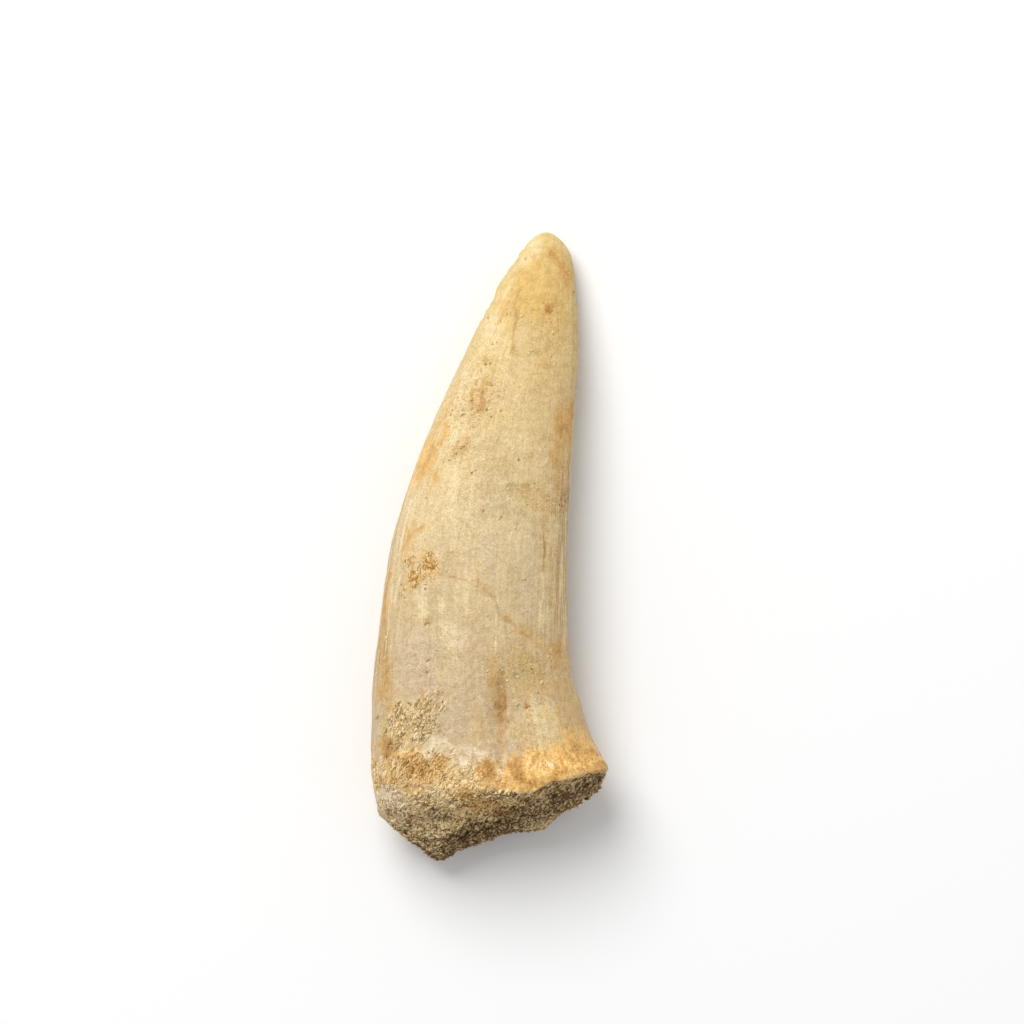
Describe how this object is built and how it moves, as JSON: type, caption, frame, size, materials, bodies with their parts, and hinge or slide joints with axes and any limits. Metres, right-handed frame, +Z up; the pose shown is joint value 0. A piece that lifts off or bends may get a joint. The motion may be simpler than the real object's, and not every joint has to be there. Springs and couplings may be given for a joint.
{
  "type": "fossil fish tooth",
  "caption": "Long curved conical fossil fang lying on its side, with a broken, sandy root end and a blunt pale tip.",
  "frame": {"origin": "centre of the bounding box in plan, on the surface that the tooth lies on", "axes": "+Y runs from the broken base to the tip, +X to the hollow back edge, +Z up away from the surface"},
  "size_m": [0.0158, 0.042, 0.0095],
  "materials": {
    "tooth": "matte fossil enamel and dentine, cream to tan, with sandy ochre matrix at the broken end"
  },
  "bodies": {
    "root": {"tooth": "tooth"}
  },
  "joints": []
}
